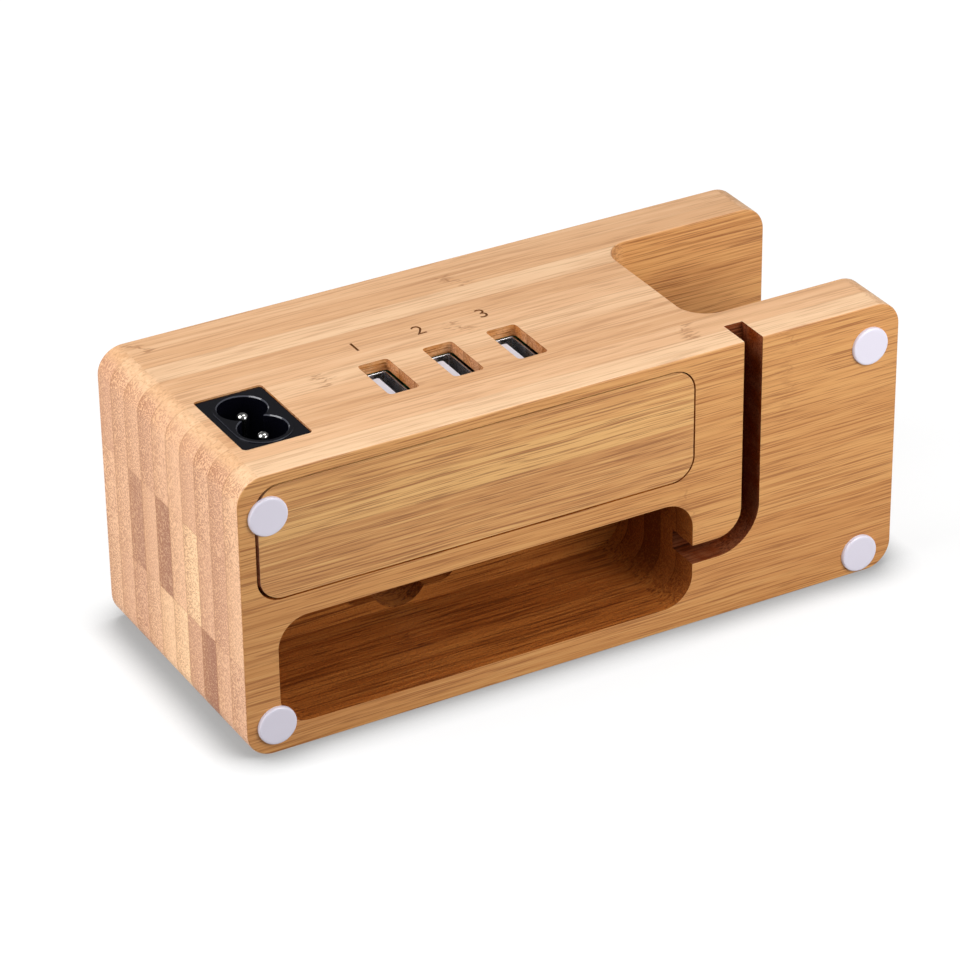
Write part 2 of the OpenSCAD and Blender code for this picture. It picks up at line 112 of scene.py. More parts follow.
def slab(name, low, high, radius=0.0, axis="Z", steps=10):
    """A block that runs along one axis, drawn as a plane, its corners rounded, and extruded."""
    size = high - low
    across = {"Z": size, "Y": Vector((size.x, size.z, size.y)), "X": Vector((size.z, size.y, size.x))}[axis]
    clear_selection()
    bpy.ops.mesh.primitive_plane_add(size=1)
    piece = bpy.context.object
    piece.name = piece.data.name = name
    bpy.ops.object.mode_set(mode="EDIT")
    bpy.ops.transform.resize(value=(across.x, across.y, 1))
    bpy.ops.transform.translate(value=(0, 0, -across.z / 2))
    if radius:
        bpy.ops.mesh.bevel(affect="VERTICES", offset=radius, segments=steps)
        bpy.ops.mesh.remove_doubles(threshold=1e-6)
    bpy.ops.mesh.select_all(action="SELECT")
    bpy.ops.mesh.extrude_region_move(TRANSFORM_OT_translate={"value": (0, 0, across.z)})
    bpy.ops.mesh.select_all(action="SELECT")
    bpy.ops.mesh.normals_make_consistent(inside=False)
    bpy.ops.object.mode_set(mode="OBJECT")
    piece.rotation_euler = {"Z": (0, 0, 0), "Y": (ROUND / 4, 0, 0), "X": (0, ROUND / 4, 0)}[axis]
    piece.location = (low + high) / 2
    bpy.ops.object.transform_apply(location=True, rotation=True, scale=True)
    return piece


def rod(name, foot, radius, height, axis="Z", sides=48):
    """A round bar that starts at a point and runs along one axis."""
    clear_selection()
    step = {"Z": Vector((0, 0, 1)), "Y": Vector((0, 1, 0)), "X": Vector((1, 0, 0))}[axis]
    turn = {"Z": (0, 0, 0), "Y": (-ROUND / 4, 0, 0), "X": (0, ROUND / 4, 0)}[axis]
    bpy.ops.mesh.primitive_cylinder_add(
        vertices=sides, radius=radius, depth=height, location=foot + step * height / 2, rotation=turn)
    piece = bpy.context.object
    piece.name = piece.data.name = name
    bpy.ops.object.transform_apply(location=True, rotation=True, scale=True)
    return piece


def finish_with(piece, kind, **settings):
    """Adds one modifier to a piece and applies it."""
    step = piece.modifiers.new(kind.lower(), kind)
    for key, value in settings.items():
        setattr(step, key, value)
    pick(piece)
    bpy.ops.object.modifier_apply(modifier=step.name)


def carve(piece, *cutters, finish=None):
    """Cuts other shapes out of a piece. The new faces take the finish that is given."""
    for cutter in cutters:
        if finish:
            cutter.data.materials.append(finish)
        finish_with(piece, "BOOLEAN", operation="DIFFERENCE", solver="EXACT", object=cutter,
                    material_mode="TRANSFER" if finish else "INDEX")
        bpy.data.objects.remove(cutter)


def weld(piece, *others):
    """Joins other shapes to a piece as one body."""
    for other in others:
        finish_with(piece, "BOOLEAN", operation="UNION", solver="EXACT", object=other)
        bpy.data.objects.remove(other)


def break_edges(piece, width, steps=2, angle=35):
    """Rounds every sharp edge by a small width."""
    finish_with(piece, "BEVEL", width=width, segments=steps, limit_method="ANGLE",
                angle_limit=math.radians(angle), use_clamp_overlap=True, harden_normals=False)
    smooth(piece)


def smooth(piece, angle=32):
    """Smooth shading below an angle, weighted so that the broad faces stay flat."""
    pick(piece)
    bpy.ops.object.shade_smooth_by_angle(angle=math.radians(angle))
    finish_with(piece, "WEIGHTED_NORMAL", keep_sharp=True, weight=50)


def copy_of(piece, name, shift):
    """A copy with its own mesh, moved to its place."""
    twin = piece.copy()
    twin.data = piece.data.copy()
    twin.name = twin.data.name = name
    bpy.context.scene.collection.objects.link(twin)
    twin.data.transform(Matrix.Translation(shift))
    return twin


def fit(piece, body, node=None, material=None):
    """Gives a finished piece its material and its body, and hides the CAD node that it stands for."""
    if material:
        piece.data.materials.clear()
        piece.data.materials.append(material)
    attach(piece, body)
    if node:
        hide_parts(node)


# materials


def srgb(code):
    """A hex colour as linear red, green, blue and alpha."""
    parts = [int(code[i:i + 2], 16) / 255 for i in (1, 3, 5)]
    return [p / 12.92 if p <= 0.04045 else ((p + 0.055) / 1.055) ** 2.4 for p in parts] + [1.0]


def add(tree, kind, links=None, **settings):
    """Adds a node, sets its properties and inputs, and links its inputs."""
    made = tree.nodes.new(kind)
    for key, value in settings.items():
        if key.startswith("in_"):
            name = key[3:]
            made.inputs[int(name) if name.isdigit() else name.replace("_", " ")].default_value = value
        elif key == "stops":
            ramp = made.color_ramp
            while len(ramp.elements) < len(value):
                ramp.elements.new(0.5)
            for stop, (place, colour) in zip(ramp.elements, value):
                stop.position = place
                stop.color = srgb(colour) if isinstance(colour, str) else (colour, colour, colour, 1)
        else:
            setattr(made, key, value)
    for name, source in (links or {}).items():
        tree.links.new(source, made.inputs[name])
    return made


def new_material(name, **surface):
    """An empty material with its surface shader, and the numbers that are the same all over."""
    made = bpy.data.materials.new(name)
    made.use_nodes = True
    tree = made.node_tree
    shader = tree.nodes["Principled BSDF"]
    for key, value in surface.items():
        shader.inputs[key.replace("_", " ")].default_value = value
    return made, tree, shader


def bamboo(name, tones, end_tones, fibre, seed, strip=(20.0, 6.05), corner=(-DEPTH / 2, FOOT), under=None,
           scorch_and_shade=None):
    """Laminated bamboo, satin lacquered: strips 20 mm by 6 mm run the length of the block.

    Each strip has its own tone. Its fibres show as fine brown lines along the strip and as small specks on
    its sawn end, its growth joints as short bands of broken fibres, and the glue between strips as a thin
    line. Faces that look down are multiplied by a browner colour: painted shade of the underside. A router
    leaves a cut wall rough and scorches it, and cut walls are darkened further as painted shade of the
    recesses: one colour and how much of the wall it covers, from least to most, give scorch and shade both.
    """
    made, tree, shader = new_material(name)
    place = add(tree, "ShaderNodeTexCoord").outputs["Object"]
    split = add(tree, "ShaderNodeSeparateXYZ", {0: place})

    def level(source, low, high, bottom, top, smooth=True):
        """A value between two levels, spread over a new span and kept inside it."""
        return add(tree, "ShaderNodeMapRange", {0: source}, in_1=low, in_2=high, in_3=bottom, in_4=top,
                   interpolation_type="SMOOTHSTEP" if smooth else "LINEAR").outputs[0]

    def tint(amount, under_colour, over):
        """Lays a colour over another by an amount. The colour is a hex code or a node's output."""
        plain = isinstance(over, str)
        links = {0: amount, 6: under_colour} if plain else {0: amount, 6: under_colour, 7: over}
        made_mix = add(tree, "ShaderNodeMix", links, data_type="RGBA")
        if plain:
            made_mix.inputs[7].default_value = srgb(over)
        return made_mix.outputs[2]

    def count(source, size, start):
        """How many strips lie below a point, nudged so that the outer faces don't lie on a change."""
        return add(tree, "ShaderNodeMath", {0: source}, operation="MULTIPLY_ADD", in_1=1 / (size * MM),
                   in_2=0.003 - start / size).outputs[0]

    row = count(split.outputs["Y"], strip[0], corner[0])
    layer = count(split.outputs["Z"], strip[1], corner[1])
    row_no = add(tree, "ShaderNodeMath", {0: row}, operation="FLOOR").outputs[0]
    layer_no = add(tree, "ShaderNodeMath", {0: layer}, operation="FLOOR").outputs[0]
    strip_no = add(tree, "ShaderNodeCombineXYZ", {0: row_no, 1: layer_no}, in_2=seed).outputs[0]
    chance = add(tree, "ShaderNodeTexWhiteNoise", {0: strip_no}, noise_dimensions="3D")
    # Each strip is cut from another cane, so its grain starts elsewhere
    shift = add(tree, "ShaderNodeVectorMath", {0: chance.outputs["Color"]}, operation="SCALE",
                in_3=0.7).outputs[0]
    cane = add(tree, "ShaderNodeVectorMath", {0: place, 1: shift}, operation="ADD").outputs[0]
    # A slow wander keeps the fibres from running dead straight: under 1 mm over 30 mm
    wander = add(tree, "ShaderNodeTexNoise", {0: cane}, in_Scale=30.0, in_Detail=1.0)
    wander_by = add(tree, "ShaderNodeVectorMath", {0: wander.outputs["Color"]}, operation="MULTIPLY",
                    in_1=(0.0, 0.0009, 0.0009)).outputs[0]
    fibres = add(tree, "ShaderNodeVectorMath", {0: cane, 1: wander_by}, operation="ADD").outputs[0]

    def streaks(along, wide, thick, detail, rough):
        """Noise drawn out along the strip, in millimetres along it, over its width and over its thickness."""
        scaled = add(tree, "ShaderNodeMapping", {0: fibres},
                     in_Scale=(1000 / along, 1000 / wide, 1000 / thick))
        return add(tree, "ShaderNodeTexNoise", {0: scaled.outputs[0]}, in_Scale=1.0, in_Detail=detail,
                   in_Roughness=rough).outputs["Fac"]

    normal = add(tree, "ShaderNodeNewGeometry").outputs["Normal"]
    facing = add(tree, "ShaderNodeSeparateXYZ", {0: normal})
    broadside = add(tree, "ShaderNodeMath", {0: facing.outputs["Z"]}, operation="ABSOLUTE").outputs[0]
    # The lines are plainer on the strips' broad sides, above and below, than on their edges
    plain = level(broadside, 0.3, 0.9, 0.9 if scorch_and_shade else 0.45, 1.0)

    def lines(source, low, high, most, line_colour, under_colour):
        """Lays a line colour over another where the noise lies between two levels."""
        shown = level(source, low, high, 0.0, most)
        amount = add(tree, "ShaderNodeMath", {0: shown, 1: plain}, operation="MULTIPLY")
        return tint(amount.outputs[0], under_colour, line_colour)

    broad, fine = streaks(130, 4.0, 3.0, 2.0, 0.5), streaks(42, 0.58, 1.0, 3.0, 0.62)
    hair = streaks(19, 0.30, 0.5, 2.0, 0.6)
    spots = [(0.0, tones[0]), (0.25, tones[1]), (0.62, tones[2]), (1.0, tones[3])]
    tone = add(tree, "ShaderNodeValToRGB", {0: chance.outputs["Value"]}, stops=spots).outputs[0]
    colour = lines(broad, 0.42, 0.64, 0.45, fibre[0], tone)
    colour = lines(fine, 0.46, 0.32, 0.45, tones[3], colour)
    colour = lines(hair, 0.45, 0.34, 0.60, tones[3], colour)
    colour = lines(fine, 0.51, 0.65, 0.68, fibre[1], colour)
    colour = lines(hair, 0.53, 0.62, 0.68, fibre[2], colour)

    # The growth joint, at its own place on each strip: a tick 0.8 mm wide in a 5 mm patch of broken fibres
    spread = add(tree, "ShaderNodeSeparateColor", {0: chance.outputs["Color"]})
    joint_at = add(tree, "ShaderNodeMath", {0: spread.outputs[1]}, operation="MULTIPLY_ADD", in_1=0.30,
                   in_2=-0.15).outputs[0]
    ragged = add(tree, "ShaderNodeMath", {0: broad, 2: joint_at}, operation="MULTIPLY_ADD",
                 in_1=0.012).outputs[0]
    away = add(tree, "ShaderNodeMath", {0: split.outputs["X"], 1: ragged}, operation="SUBTRACT").outputs[0]
    away = add(tree, "ShaderNodeMath", {0: away}, operation="ABSOLUTE").outputs[0]
    dashes = level(streaks(2.6, 0.6, 0.6, 2.0, 0.6), 0.48, 0.62, 0.0, 0.8)
    near = level(away, 0.0005, 0.0026, 0.8, 0.0)
    patch = add(tree, "ShaderNodeMath", {0: near, 1: dashes}, operation="MULTIPLY").outputs[0]
    tick = level(streaks(9, 2.2, 2.2, 1.0, 0.5), 0.50, 0.58, 0.0, 0.7)
    near = level(away, 0.0001, 0.0004, 1.0, 0.0)
    tick = add(tree, "ShaderNodeMath", {0: near, 1: tick}, operation="MULTIPLY").outputs[0]
    joint = add(tree, "ShaderNodeMath", {0: patch, 1: tick}, operation="MAXIMUM").outputs[0]
    # The underside is sanded after it is glued up, so its joints show less
    sanded = level(facing.outputs["Z"], -0.25, -0.9, 1.0, 0.4)
    joint = add(tree, "ShaderNodeMath", {0: joint, 1: sanded}, operation="MULTIPLY").outputs[0]
    colour = tint(joint, colour, fibre[2])

    # Sawn ends: fibre bundles 0.4 mm apart show as brown specks in waved rows, some strips more than others
    end_on = add(tree, "ShaderNodeMath", {0: facing.outputs["X"]}, operation="ABSOLUTE").outputs[0]
    sway = add(tree, "ShaderNodeTexNoise", {0: cane}, in_Scale=420.0, in_Detail=1.0)
    sway_by = add(tree, "ShaderNodeVectorMath", {0: sway.outputs["Color"]}, operation="MULTIPLY",
                  in_1=(0.0, 0.0022, 0.0010)).outputs[0]
    bundles_at = add(tree, "ShaderNodeVectorMath", {0: cane, 1: sway_by}, operation="ADD").outputs[0]
    bundles_at = add(tree, "ShaderNodeMapping", {0: bundles_at}, in_Scale=(150, 2900, 2300)).outputs[0]
    bundles = add(tree, "ShaderNodeTexVoronoi", {0: bundles_at}, in_Scale=1.0,
                  in_Randomness=0.75).outputs["Distance"]
    across = add(tree, "ShaderNodeMath", {0: layer}, operation="FRACT").outputs[0]
    size = level(across, 0.0, 1.0, 0.42, 0.58, smooth=False)
    speck = add(tree, "ShaderNodeMath", {0: size, 1: bundles}, operation="SUBTRACT").outputs[0]
    end_spots = [(0.12, end_tones[0]), (0.24, end_tones[1]), (0.72, end_tones[2]), (0.92, end_tones[3])]
    sawn = add(tree, "ShaderNodeValToRGB", {0: chance.outputs["Value"]}, stops=end_spots).outputs[0]
    sawn = tint(level(across, 0.3, 1.0, 0.0, 0.28), sawn, fibre[1])
    sawn = tint(level(bundles, 0.48, 0.72, 0.0, 0.35), sawn, end_tones[3])
    strength = level(spread.outputs[2], 0.0, 1.0, 0.35, 0.75, smooth=False)
    speck = level(speck, -0.10, 0.18, 0.0, 1.0)
    speck = add(tree, "ShaderNodeMath", {0: speck, 1: strength}, operation="MULTIPLY").outputs[0]
    sawn = tint(speck, sawn, end_tones[4])
    colour = tint(level(end_on, 0.40, 0.85, 0.0, 1.0), colour, sawn)

    # The glue lines, about 0.3 mm wide: they show most on the sawn ends
    for run, edge, depth in ((row, 0.2 / strip[0], 0.2), (layer, 0.2 / strip[1], 0.45)):
        part = add(tree, "ShaderNodeMath", {0: run}, operation="PINGPONG", in_1=0.5).outputs[0]
        line = level(part, edge * 0.3, edge * 1.3, depth, 0.0)
        clarity = level(end_on, 0.3, 0.9, 0.35, 1.0)
        shown = add(tree, "ShaderNodeMath", {0: line, 1: clarity}, operation="MULTIPLY").outputs[0]
        colour = tint(shown, colour, fibre[2])

    # Faces that look down are multiplied by a browner colour: painted shade of the underside
    if under:
        below = level(facing.outputs["Z"], -0.25, -0.9, 0.0, 1.0)
        shaded_under = add(tree, "ShaderNodeMix", {0: below, 6: colour}, data_type="RGBA", blend_type="MULTIPLY",
                    in_7=srgb(under))
        colour = shaded_under.outputs[2]
    # Cut walls are multiplied darker: partly real router scorch, partly painted shade of the recesses
    if scorch_and_shade:
        patchy = add(tree, "ShaderNodeTexNoise", {0: place}, in_Scale=260.0, in_Detail=3.0).outputs["Fac"]
        scorch_and_shade_mix = add(tree, "ShaderNodeMix", {0: level(patchy, 0.3, 0.72, *scorch_and_shade[1:]), 6: colour},
                       data_type="RGBA", blend_type="MULTIPLY", in_7=srgb(scorch_and_shade[0]))
        torn = add(tree, "ShaderNodeTexNoise", {0: place}, in_Scale=1900.0, in_Detail=2.0,
                   in_Roughness=0.7).outputs["Fac"]
        colour = tint(level(torn, 0.54, 0.68, 0.0, 0.35), scorch_and_shade_mix.outputs[2], fibre[2])
    tree.links.new(colour, shader.inputs["Base Color"])

    # Lacquer gives the long grain a sheen. The sawn ends and the cut walls have hardly any
    gloss = level(end_on, 0.4, 0.9, *((0.1, 0.05) if scorch_and_shade else (0.5, 0.12)))
    tree.links.new(gloss, shader.inputs["Specular IOR Level"])
    rough = level(fine, 0.0, 1.0, *((0.62, 0.92) if scorch_and_shade else (0.40, 0.60)), smooth=False)
    tree.links.new(rough, shader.inputs["Roughness"])
    height = add(tree, "ShaderNodeMath", {0: fine, 1: hair}, operation="ADD").outputs[0]
    if scorch_and_shade:
        height = add(tree, "ShaderNodeMath", {0: height, 1: torn}, operation="ADD").outputs[0]
    bump = add(tree, "ShaderNodeBump", {"Height": height}, in_Strength=0.8 if scorch_and_shade else 0.25,
               in_Distance=0.00025 if scorch_and_shade else 0.0001)
    tree.links.new(bump.outputs[0], shader.inputs["Normal"])
    return made


def moulded(name, colour, roughness, grain_mm, depth, specular=0.5, tint=0.04):
    """A moulded plastic or rubber: one colour, a faint cloudiness, and the grain of its mould."""
    made, tree, shader = new_material(name, Roughness=roughness, Specular_IOR_Level=specular)
    place = add(tree, "ShaderNodeTexCoord").outputs["Object"]
    cloud = add(tree, "ShaderNodeTexNoise", {0: place}, in_Scale=180.0, in_Detail=2.0)
    spread = add(tree, "ShaderNodeMapRange", {0: cloud.outputs["Fac"]}, in_3=1.0 - tint, in_4=1.0 + tint)
    tinted = add(tree, "ShaderNodeVectorMath", {3: spread.outputs[0]}, operation="SCALE",
                 in_0=srgb(colour)[:3])
    tree.links.new(tinted.outputs[0], shader.inputs["Base Color"])
    grain = add(tree, "ShaderNodeTexNoise", {0: place}, in_Scale=1000.0 / grain_mm, in_Detail=2.0)
    bump = add(tree, "ShaderNodeBump", {"Height": grain.outputs["Fac"]}, in_Strength=0.3,
               in_Distance=depth * MM)
    tree.links.new(bump.outputs[0], shader.inputs["Normal"])
    return made


def plated(name, colour, roughness, brush_mm, along="Y"):
    """A plated metal with the drawing marks of its sheet or wire."""
    made, tree, shader = new_material(name, Metallic=1.0)
    place = add(tree, "ShaderNodeTexCoord").outputs["Object"]
    fine = 1000 / brush_mm
    scale = {"X": (fine / 20, fine, fine), "Y": (fine, fine / 20, fine), "Z": (fine, fine, fine / 20)}[along]
    marks_at = add(tree, "ShaderNodeMapping", {0: place}, in_Scale=scale)
    marks = add(tree, "ShaderNodeTexNoise", {0: marks_at.outputs[0]}, in_Scale=1.0, in_Detail=3.0)
    rough = add(tree, "ShaderNodeMapRange", {0: marks.outputs["Fac"]}, in_3=roughness * 0.7,
                in_4=roughness * 1.4)
    tree.links.new(rough.outputs[0], shader.inputs["Roughness"])
    tone = add(tree, "ShaderNodeMapRange", {0: marks.outputs["Fac"]}, in_3=0.9, in_4=1.06)
    toned = add(tree, "ShaderNodeVectorMath", {3: tone.outputs[0]}, operation="SCALE", in_0=srgb(colour)[:3])
    tree.links.new(toned.outputs[0], shader.inputs["Base Color"])
    bump = add(tree, "ShaderNodeBump", {"Height": marks.outputs["Fac"]}, in_Strength=0.15,
               in_Distance=0.00003)
    tree.links.new(bump.outputs[0], shader.inputs["Normal"])
    return made


def circuit_board(name):
    """Glass-epoxy board under green solder mask: tracks 0.6 mm wide stand out paler under the mask."""
    made, tree, shader = new_material(name, Roughness=0.35)
    place = add(tree, "ShaderNodeTexCoord").outputs["Object"]
    tracks = add(tree, "ShaderNodeTexVoronoi", {0: place}, feature="DISTANCE_TO_EDGE", in_Scale=260.0)
    on_track = add(tree, "ShaderNodeMapRange", {0: tracks.outputs["Distance"]}, in_1=0.06, in_2=0.09,
                   in_3=1.0, in_4=0.0)
    mask = add(tree, "ShaderNodeMix", {0: on_track.outputs[0]}, data_type="RGBA", in_6=srgb("#1f5c35"),
               in_7=srgb("#3c8a4e"))
    tree.links.new(mask.outputs[2], shader.inputs["Base Color"])
    bump = add(tree, "ShaderNodeBump", {"Height": on_track.outputs[0]}, in_Strength=0.3, in_Distance=0.00005)
    tree.links.new(bump.outputs[0], shader.inputs["Normal"])
    return made


def banded(name, colour, band, axis, edges, roughness=0.35):
    """A sleeved or taped part with one band of another colour between two heights along an axis."""
    made, tree, shader = new_material(name, Roughness=roughness)
    place = add(tree, "ShaderNodeTexCoord").outputs["Object"]
    split = add(tree, "ShaderNodeSeparateXYZ", {0: place})
    low = add(tree, "ShaderNodeMath", {0: split.outputs[axis]}, operation="GREATER_THAN", in_1=edges[0] * MM)
    high = add(tree, "ShaderNodeMath", {0: split.outputs[axis]}, operation="LESS_THAN", in_1=edges[1] * MM)
    inside = add(tree, "ShaderNodeMath", {0: low.outputs[0], 1: high.outputs[0]}, operation="MULTIPLY")
    cloud = add(tree, "ShaderNodeTexNoise", {0: place}, in_Scale=500.0, in_Detail=3.0)
    wear = add(tree, "ShaderNodeMapRange", {0: cloud.outputs["Fac"]}, in_3=0.92, in_4=1.08)
    mixed = add(tree, "ShaderNodeMix", {0: inside.outputs[0]}, data_type="RGBA", in_6=srgb(colour),
                in_7=srgb(band))
    toned = add(tree, "ShaderNodeVectorMath", {0: mixed.outputs[2], 3: wear.outputs[0]}, operation="SCALE")
    tree.links.new(toned.outputs[0], shader.inputs["Base Color"])
    bump = add(tree, "ShaderNodeBump", {"Height": cloud.outputs["Fac"]}, in_Strength=0.2, in_Distance=0.00004)
    tree.links.new(bump.outputs[0], shader.inputs["Normal"])
    return made


BLOCK_TONES = ("#c79466", "#d8a77a", "#e1b388", "#eecaa2")
BLOCK_ENDS = ("#96644d", "#cb9a7b", "#d9a986", "#eec498", "#9c6a4e")
# The underside colour given here is painted shade of the faces that look down
block_bamboo = bamboo("laminated_bamboo", BLOCK_TONES, BLOCK_ENDS, ("#cd9a6e", "#b98659", "#98653a"),
                      BLOCK_SEED, under="#eed5a4")
# The cut walls' darker fibres and multiply are partly real scorch and partly painted shade of the pocket, the
# channel and the windows; the channel is painted darkest
cut_bamboo = bamboo("routed_bamboo", BLOCK_TONES, BLOCK_ENDS, ("#b9804c", "#9c6534", "#6e3f1b"),
                    BLOCK_SEED, scorch_and_shade=("#c48f52", 1.0, 1.0))
scorched_and_shaded_bamboo = bamboo("scorched_and_shaded_bamboo", BLOCK_TONES, BLOCK_ENDS, ("#b0753f", "#8e5628", "#5e3112"),
                         BLOCK_SEED, scorch_and_shade=("#8c4a14", 0.9, 1.0))
window_bamboo = bamboo("window_bamboo", BLOCK_TONES, BLOCK_ENDS, ("#cb9a5c", "#b5823f", "#7c4d1c"),
                       BLOCK_SEED, scorch_and_shade=("#dcb170", 0.4, 0.9))
cover_bamboo = bamboo("cover_bamboo", ("#b9834d", "#c88f55", "#cf985a", "#dfb06f"), BLOCK_ENDS,
                      ("#bb8048", "#a66c3a", "#845026"), 11.0, strip=(6.2, 30.0), corner=(2.9, -5.0))
engraved = moulded("burnt_engraving", "#6b3f1c", 0.8, 0.3, 0.1, 0.2)
foot_silicone = moulded("white_silicone", "#dad5e2", 0.25, 0.5, 0.01, 0.5, 0.01)
socket_nylon = moulded("black_nylon", "#07070e", 0.14, 0.35, 0.006, 0.38, 0.1)
# Paler grey for the socket's rims: a painted highlight
rim_highlight_nylon = moulded("nylon_rim_painted_highlight", "#3f4047", 0.12, 0.35, 0.004, 0.6, 0.1)
port_resin = moulded("white_port_resin", "#dfdde5", 0.35, 0.4, 0.01, 0.5, 0.01)
pin_nickel = plated("bright_nickel", "#cfcdca", 0.16, 0.2)
shell_nickel = plated("nickel_plated_sheet", "#c6c6c8", 0.24, 0.12, "X")
contact_gold = plated("gold_flash", "#d8aa4e", 0.22, 0.15)
zinc = plated("zinc_plate", "#bfc2c6", 0.3, 0.2)
board_mask = circuit_board("green_solder_mask")
epoxy = moulded("black_epoxy", "#1d1d20", 0.45, 0.25, 0.03)
disc_epoxy = moulded("blue_dipped_epoxy", "#2c69b2", 0.3, 0.8, 0.05)
phenolic = moulded("brown_phenolic", "#2c241f", 0.5, 0.4, 0.03)
ferrite = moulded("sintered_ferrite", "#3c3b3e", 0.55, 0.2, 0.05)
brown_pvc = moulded("brown_wire_insulation", "#6a3a1c", 0.35, 0.6, 0.02)
blue_pvc = moulded("blue_wire_insulation", "#2a5cae", 0.35, 0.6, 0.02)
bulk_sleeve = banded("black_can_sleeve", "#1b1e24", "#a9adb3", "Z", (14.8, 15.2))
out_sleeve = banded("blue_can_sleeve", "#1f3f8a", "#c9ccd2", "Z", (17.8, 18.2))
fuse_tube = banded("glazed_fuse_tube", "#c3c6c9", "#ece7d9", "X", (35.0, 41.0), 0.25)
winding_tape = banded("yellow_polyester_tape", "#e2b62c", "#e8c044", "Z", (20.3, 22.3), 0.25)

# the bamboo block


def cable_channel():
    """The routed channel: 4.2 mm wide and 7.5 mm deep, in from the back and round a bend to the pocket."""
    half, deep = 2.1 * MM, 7.5 * MM
    clear_selection()
    bpy.ops.mesh.primitive_plane_add(size=1)
    piece = bpy.context.object
    piece.name = "channel_cutter"
    bpy.ops.object.mode_set(mode="EDIT")
    bpy.ops.transform.resize(value=(2 * half, deep + CUT * MM, 1))
    bpy.ops.object.mode_set(mode="OBJECT")
    # The section stands upright at the back face and looks towards the front
    piece.rotation_euler = (ROUND / 4, 0, 0)
    start = at(111.1, DEPTH + 1, 0)
    piece.location = (start.x, start.y, start.z + (deep - CUT * MM) / 2)
    bpy.ops.object.transform_apply(location=True, rotation=True, scale=True)
    bpy.ops.object.mode_set(mode="EDIT")
    bpy.ops.mesh.select_all(action="SELECT")
    bpy.ops.mesh.extrude_region_move(TRANSFORM_OT_translate={"value": (0, -37.6 * MM, 0)})
    turn = at(103.5, 23.4, 0)
    bpy.ops.mesh.spin(steps=18, angle=-ROUND / 4, center=turn, axis=(0, 0, 1), use_auto_merge=True)
    bpy.ops.mesh.extrude_region_move(TRANSFORM_OT_translate={"value": (8.0 * MM, 0, 0)})
    mend()
    return piece


def port_numbers():
    """Plain numbers over the ports, burnt 0.15 mm into the back face."""
    cutters = []
    for number, x in enumerate(PORT_X, 1):
        clear_selection()
        bpy.ops.object.text_add()
        figure = bpy.context.object
        figure.data.body = str(number)
        figure.data.size = 5.0 * MM
        figure.data.align_x = figure.data.align_y = "CENTER"
        figure.data.extrude = 0.3 * MM
        pick(figure)
        bpy.ops.object.convert(target="MESH")
        cutter = bpy.context.object
        cutter.location = at(x, DEPTH + 0.15, 36)
        cutter.rotation_euler = (ROUND / 4, 0, ROUND / 2)
        bpy.ops.object.transform_apply(location=True, rotation=True, scale=True)
        bpy.ops.object.mode_set(mode="EDIT")
        mend()
        cutters.append(cutter)
    return cutters


def block():
    piece = slab("bamboo_body", *ends(0, LENGTH, 0, DEPTH, 0, HEIGHT), radius=5.5 * MM, steps=14)
    for finish in (block_bamboo, cut_bamboo, window_bamboo, engraved, scorched_and_shaded_bamboo):
        piece.data.materials.append(finish)
    # The notch under the watch arm is milled clean, so it keeps the lacquered finish
    notch = slab("notch_cutter", *ends(NOTCH_X, LENGTH + 15, -1, DEPTH + 1, *NOTCH_Z), radius=NOTCH_R * MM,
                 axis="Y", steps=14)
    carve(piece, notch)
    # The outer edges and the notch's are sanded rounder than those of the later routing
    break_edges(piece, 0.35 * MM, steps=3, angle=40)
    puck_x = LENGTH - 39.15 / 2
    carve(piece, rod("puck_cutter", at(puck_x, DEPTH / 2, 53), 14.3 * MM, 9 * MM, sides=96))
    carve(piece, rod("puck_hole", at(puck_x, DEPTH / 2, 48), 6.35 * MM, 9 * MM, sides=48),
          slab("puck_slit", *ends(puck_x, puck_x - 17.5, 27.5, 32.5, 42.85, 62)), finish=cut_bamboo)
    # The phone slot leans back ten degrees
    slot = slab("slot_cutter", Vector((-42, -6, 0)) * MM, Vector((42, 6, 26.5)) * MM, radius=5.999 * MM,
                steps=16)
    slot.rotation_euler = (-math.radians(10), 0, 0)
    slot.location = at(PHONE_X, PHONE_Y, 46)
    pick(slot)
    bpy.ops.object.transform_apply(location=True, rotation=True, scale=True)
    carve(piece, slot)
    carve(piece,
          slab("pocket_cutter", *ends(7.2, 97.9, 5.1, 28.4, -1, 27.5), radius=6.35 * MM, steps=12),
          rod("passage_cutter", at(PHONE_X, PHONE_Y, 27), 6.2 * MM, 21 * MM, sides=64),
          slab("plug_recess", *ends(34.8, 59.8, 8.5, 14.5, 27, 29.5), radius=2.999 * MM, steps=10),
          finish=cut_bamboo)
    carve(piece, cable_channel(), finish=scorched_and_shaded_bamboo)
    carve(piece,
          slab("rebate_cutter", *ends(3.4, 98.1, 33.1, COMPARTMENT_Y[1], -1, 3), radius=5 * MM, steps=10),
          slab("compartment_cutter", *ends(6, 95.5, *COMPARTMENT_Y, -1, 30.6), radius=3.2 * MM, steps=8),
          slab("floor_cutter", *ends(28.9, 90.8, *COMPARTMENT_Y, 25, 34)),
          slab("inlet_floor_cutter", *ends(6, 24.5, *COMPARTMENT_Y, 25, 34), radius=3.2 * MM, steps=8),
          finish=cut_bamboo)
    carve(piece, slab("inlet_window", *ends(6.7, 21.1, 54, 61, 10.15, 31.85), radius=0.9 * MM,
                      axis="Y", steps=5), finish=window_bamboo)
    for middle in PORT_X:
        window = slab("port_window", *ends(middle - 3.3, middle + 3.3, 55, 61, 15.75, 29.05), radius=0.9 * MM,
                      axis="Y", steps=5)
        carve(piece, window, finish=window_bamboo)
    carve(piece, *port_numbers(), finish=engraved)
    break_edges(piece, 0.12 * MM, angle=40)
    fit(piece, "dock", "bamboo_block")


def cover():
    piece = slab("cover_panel", *ends(4.1, 97.8, 33.4, 57.35, 0, 3), radius=4.7 * MM, steps=12)
    break_edges(piece, 0.1 * MM)
    fit(piece, "cover", "compartment_cover", cover_bamboo)


